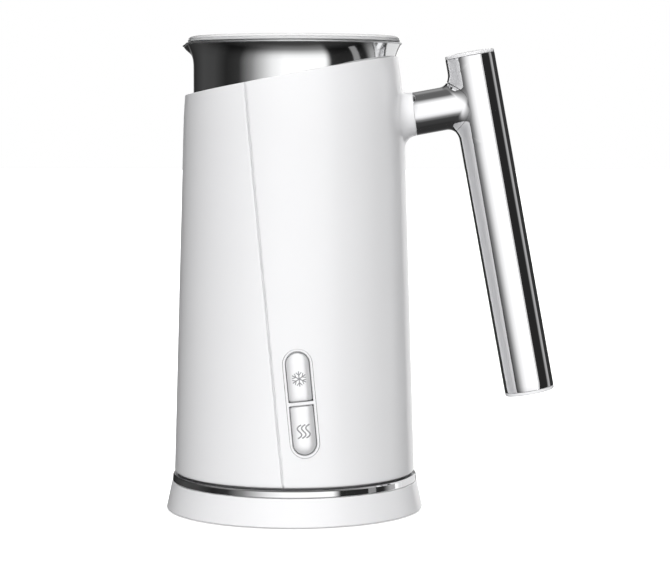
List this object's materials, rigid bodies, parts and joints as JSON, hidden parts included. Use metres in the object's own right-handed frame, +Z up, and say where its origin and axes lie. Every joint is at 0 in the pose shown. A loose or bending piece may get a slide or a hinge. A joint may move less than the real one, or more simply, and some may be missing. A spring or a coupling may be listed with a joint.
{
  "type": "milk frother",
  "caption": "Electric milk frother: tapered white body around a steel jug with a spout, flat lid, tilted chrome tube handle and two buttons, on a round cordless base.",
  "frame": {"origin": "on the jug axis, at the surface that the base stands on", "axes": "+Z up; +X towards the handle, -X towards the spout, -Y towards the buttons"},
  "size_m": [0.1671, 0.1106, 0.2026],
  "materials": {
    "white_plastic": "gloss moulded white",
    "button_plastic": "satin pearl white",
    "bezel_silver": "satin silver plating",
    "dark_plastic": "fine moulded texture",
    "chrome": "mirror polished",
    "jug_steel": "polished stainless, drawn",
    "zinc_steel": "bright zinc",
    "foot_rubber": "matt",
    "silicone": "satin translucent grey",
    "lid_plastic": "gloss, light grey",
    "contact_brass": "bright",
    "cast_aluminium": "as cast",
    "circuit_board": "solder resist",
    "component_plastic": "moulded",
    "wire_insulation": "satin",
    "ceramic_ivory": "glazed",
    "bush_plastic": "self-lubricating, satin",
    "magnet": "nickel plated"
  },
  "bodies": {
    "base": {"base_cover": "white_plastic", "base_trim_ring": "chrome", "base_plate": "dark_plastic", "base_foot_ring": "foot_rubber", "base_screws": "zinc_steel", "base_connector": "dark_plastic", "base_contacts": "contact_brass", "cord_gland": "dark_plastic", "base_leads": "wire_insulation"},
    "socket": {"jug_connector": "dark_plastic", "jug_contacts": "contact_brass"},
    "jug": {"housing_spout_side": "white_plastic", "housing_handle_side": "white_plastic", "jug_bottom_cover": "dark_plastic", "bottom_cover_screws": "zinc_steel", "milk_jug": "jug_steel", "jug_gasket": "silicone", "whisk_pin": "jug_steel", "heater_plate": "cast_aluminium", "heating_element": "cast_aluminium", "thermal_cutout": "ceramic_ivory", "temperature_sensor": "zinc_steel", "mounting_studs": "zinc_steel", "stud_spacers": "cast_aluminium", "stud_nuts": "zinc_steel", "motor_bracket": "zinc_steel", "motor_can": "zinc_steel", "motor_leads": "wire_insulation", "power_board": "circuit_board", "power_board_screws": "zinc_steel", "power_relay": "component_plastic", "power_transformer": "component_plastic", "power_capacitor": "component_plastic", "terminal_block": "component_plastic", "heater_leads": "wire_insulation", "control_board": "circuit_board", "control_board_screws": "zinc_steel", "key_switches": "dark_plastic", "ribbon_cable": "wire_insulation", "button_bezel": "bezel_silver", "handle_neck": "chrome", "handle_grip": "chrome", "grip_cap_top": "white_plastic", "grip_cap_bottom": "white_plastic", "grip_insert": "cast_aluminium", "handle_bolt": "zinc_steel"},
    "rotor": {"motor_shaft": "zinc_steel", "drive_rotor": "dark_plastic", "drive_magnets": "magnet"},
    "cold_key": {"cold_button": "button_plastic"},
    "heat_key": {"heat_button": "button_plastic"},
    "lid": {"lid": "lid_plastic", "lid_seal": "silicone"},
    "bush": {"whisk_bush": "bush_plastic"},
    "whisk": {"whisk_hub": "dark_plastic", "whisk_magnets": "magnet", "whisk_coil": "jug_steel"}
  },
  "joints": [
    {"name": "jug_lift", "type": "slide", "parent": "base", "child": "socket", "axis": [0, 0, 1], "range_m": [0, 0.06]},
    {"name": "jug_swivel", "type": "hinge", "parent": "socket", "child": "jug", "pos_m": [0, 0, 0.02], "axis": [0, 0, 1], "continuous": true},
    {"name": "lid_lift", "type": "slide", "parent": "jug", "child": "lid", "axis": [0, 0, 1], "range_m": [0, 0.05]},
    {"name": "cold_press", "type": "slide", "parent": "jug", "child": "cold_key", "axis": [-0.108, 0.9937, -0.03], "range_m": [0, 0.0008], "stiffness_N_per_m": 1500, "springref_m": -0.0006},
    {"name": "heat_press", "type": "slide", "parent": "jug", "child": "heat_key", "axis": [-0.108, 0.9937, -0.03], "range_m": [0, 0.0008], "stiffness_N_per_m": 1500, "springref_m": -0.0006},
    {"name": "motor_spin", "type": "hinge", "parent": "jug", "child": "rotor", "pos_m": [0, 0, 0.06], "axis": [0, 0, 1], "continuous": true},
    {"name": "whisk_lift", "type": "slide", "parent": "jug", "child": "bush", "axis": [0, 0, 1], "range_m": [0, 0.08]},
    {"name": "whisk_spin", "type": "hinge", "parent": "bush", "child": "whisk", "pos_m": [0, 0, 0.096], "axis": [0, 0, 1], "continuous": true}
  ],
  "couplings": [
    {"joint": "whisk_spin", "follows": "motor_spin", "ratio": 1}
  ]
}
